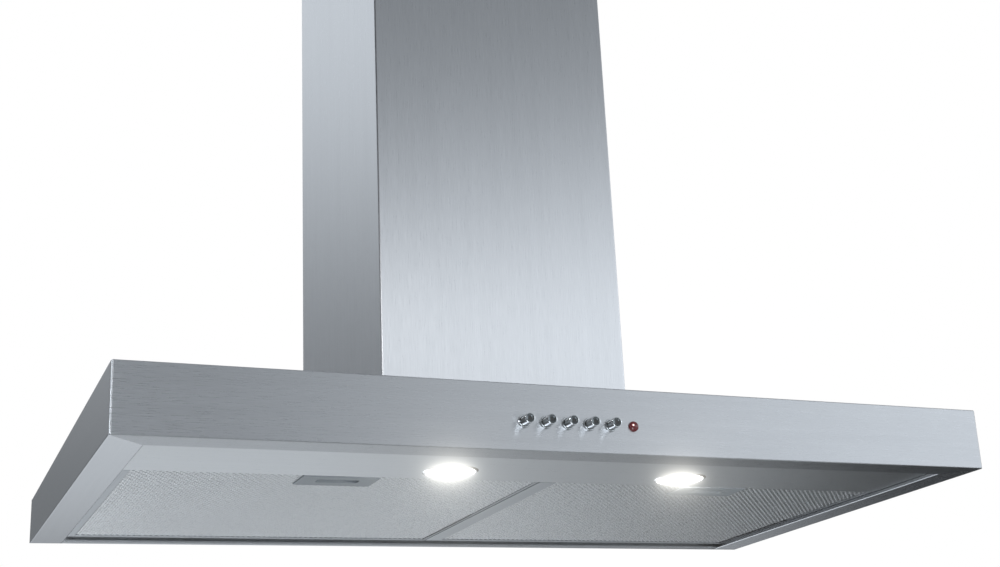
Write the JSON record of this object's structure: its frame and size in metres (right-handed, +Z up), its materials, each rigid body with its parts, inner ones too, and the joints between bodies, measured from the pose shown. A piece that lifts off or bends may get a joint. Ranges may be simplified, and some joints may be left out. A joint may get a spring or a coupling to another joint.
{
  "type": "range hood",
  "caption": "Wall-mounted chimney range hood with a wide box canopy, front push buttons, recessed lamps, hinged grease filters and a telescopic square chimney.",
  "frame": {"origin": "middle of the canopy's lower back edge, on the wall plane", "axes": "+X to the right as one faces the hood, +Y into the wall, +Z up"},
  "size_m": [0.898, 0.535, 0.7903],
  "materials": {
    "brushed_steel": "stainless steel, brushed along the sheet",
    "chimney_steel": "stainless steel, brushed upright",
    "zinc_sheet": "galvanised sheet",
    "zinc_screws": "zinc-plated steel",
    "filter_aluminium": "mill aluminium",
    "filter_mesh": "expanded aluminium mesh",
    "handle_plastic": "moulded grey plastic",
    "button_chrome": "polished chrome",
    "pilot_red": "clear red plastic",
    "black_plastic": "moulded black plastic",
    "ring_steel": "satin steel",
    "lens_glass": "frosted glass",
    "bulb_glass": "clear glass",
    "socket_ceramic": "white ceramic",
    "housing_aluminium": "pressed aluminium",
    "motor_steel": "dark coated steel",
    "duct_plastic": "moulded light plastic",
    "transformer_plastic": "moulded white plastic"
  },
  "bodies": {
    "hood": {"front_panel": "brushed_steel", "side_panel_left": "brushed_steel", "side_panel_right": "brushed_steel", "rear_panel": "brushed_steel", "top_lid": "zinc_sheet", "rear_rail": "zinc_sheet", "lamp_panel": "brushed_steel", "lamp_transformer": "transformer_plastic", "lamp_housing_left": "housing_aluminium", "lamp_housing_right": "housing_aluminium", "lamp_socket_left": "socket_ceramic", "lamp_socket_right": "socket_ceramic", "lamp_bulb_left": "bulb_glass", "lamp_bulb_right": "bulb_glass", "button_collars": "button_chrome", "switch_block": "black_plastic", "pilot_lens": "pilot_red", "pilot_nut": "zinc_screws", "blower_box": "zinc_sheet", "blower_screws": "zinc_screws", "scroll_housing": "black_plastic", "motor_stator": "motor_steel", "motor_bracket": "zinc_sheet", "outlet_collar": "duct_plastic", "flap_pins": "zinc_screws", "capacitor": "housing_aluminium", "junction_box": "black_plastic", "cable_gland": "black_plastic", "chimney_lower": "chimney_steel", "cover_brackets": "zinc_sheet"},
    "button_1": {"push_button_1": "button_chrome"},
    "button_2": {"push_button_2": "button_chrome"},
    "button_3": {"push_button_3": "button_chrome"},
    "button_4": {"push_button_4": "button_chrome"},
    "button_5": {"push_button_5": "button_chrome"},
    "filter_left": {"filter_frame_left": "filter_aluminium", "filter_mesh_left": "filter_mesh", "filter_pad_left": "filter_mesh", "filter_back_left": "filter_mesh", "filter_handle_left": "handle_plastic", "filter_lugs_left": "filter_aluminium"},
    "latch_left": {"filter_latch_left": "handle_plastic"},
    "lamp_cover_left": {"lamp_ring_left": "ring_steel", "lamp_lens_left": "lens_glass"},
    "flap_left": {"flap_left": "duct_plastic"},
    "filter_right": {"filter_frame_right": "filter_aluminium", "filter_mesh_right": "filter_mesh", "filter_pad_right": "filter_mesh", "filter_back_right": "filter_mesh", "filter_handle_right": "handle_plastic", "filter_lugs_right": "filter_aluminium"},
    "latch_right": {"filter_latch_right": "handle_plastic"},
    "lamp_cover_right": {"lamp_ring_right": "ring_steel", "lamp_lens_right": "lens_glass"},
    "flap_right": {"flap_right": "duct_plastic"},
    "fan": {"impeller": "black_plastic", "motor_shaft": "zinc_screws"},
    "upper_cover": {"chimney_upper": "chimney_steel", "ceiling_bracket": "zinc_sheet"}
  },
  "joints": [
    {"name": "button_1_press", "type": "slide", "parent": "hood", "child": "button_1", "axis": [0, 1, 0], "range_m": [0, 0.004], "stiffness_N_per_m": 500},
    {"name": "button_2_press", "type": "slide", "parent": "hood", "child": "button_2", "axis": [0, 1, 0], "range_m": [0, 0.004], "stiffness_N_per_m": 500},
    {"name": "button_3_press", "type": "slide", "parent": "hood", "child": "button_3", "axis": [0, 1, 0], "range_m": [0, 0.004], "stiffness_N_per_m": 500},
    {"name": "button_4_press", "type": "slide", "parent": "hood", "child": "button_4", "axis": [0, 1, 0], "range_m": [0, 0.004], "stiffness_N_per_m": 500},
    {"name": "button_5_press", "type": "slide", "parent": "hood", "child": "button_5", "axis": [0, 1, 0], "range_m": [0, 0.004], "stiffness_N_per_m": 500},
    {"name": "filter_left_swing", "type": "hinge", "parent": "hood", "child": "filter_left", "pos_m": [-0.207, -0.018, 0.0085], "axis": [1, 0, 0], "range_deg": [0, 75]},
    {"name": "latch_left_pull", "type": "slide", "parent": "filter_left", "child": "latch_left", "axis": [0, 1, 0], "range_m": [0, 0.006], "stiffness_N_per_m": 200},
    {"name": "lamp_cover_left_pull", "type": "slide", "parent": "hood", "child": "lamp_cover_left", "axis": [0, 0, -1], "range_m": [0, 0.025]},
    {"name": "flap_left_lift", "type": "hinge", "parent": "hood", "child": "flap_left", "pos_m": [-0.004, -0.151, 0.30298], "axis": [0, 1, 0], "range_deg": [0, 75]},
    {"name": "filter_right_swing", "type": "hinge", "parent": "hood", "child": "filter_right", "pos_m": [0.207, -0.018, 0.0085], "axis": [1, 0, 0], "range_deg": [0, 75]},
    {"name": "latch_right_pull", "type": "slide", "parent": "filter_right", "child": "latch_right", "axis": [0, 1, 0], "range_m": [0, 0.006], "stiffness_N_per_m": 200},
    {"name": "lamp_cover_right_pull", "type": "slide", "parent": "hood", "child": "lamp_cover_right", "axis": [0, 0, -1], "range_m": [0, 0.025]},
    {"name": "flap_right_lift", "type": "hinge", "parent": "hood", "child": "flap_right", "pos_m": [0.004, -0.151, 0.30298], "axis": [0, -1, 0], "range_deg": [0, 75]},
    {"name": "fan_spin", "type": "hinge", "parent": "hood", "child": "fan", "pos_m": [0, -0.151, 0.158], "axis": [0, 1, 0], "continuous": true},
    {"name": "upper_cover_raise", "type": "slide", "parent": "hood", "child": "upper_cover", "axis": [0, 0, 1], "range_m": [0, 0.35]}
  ]
}
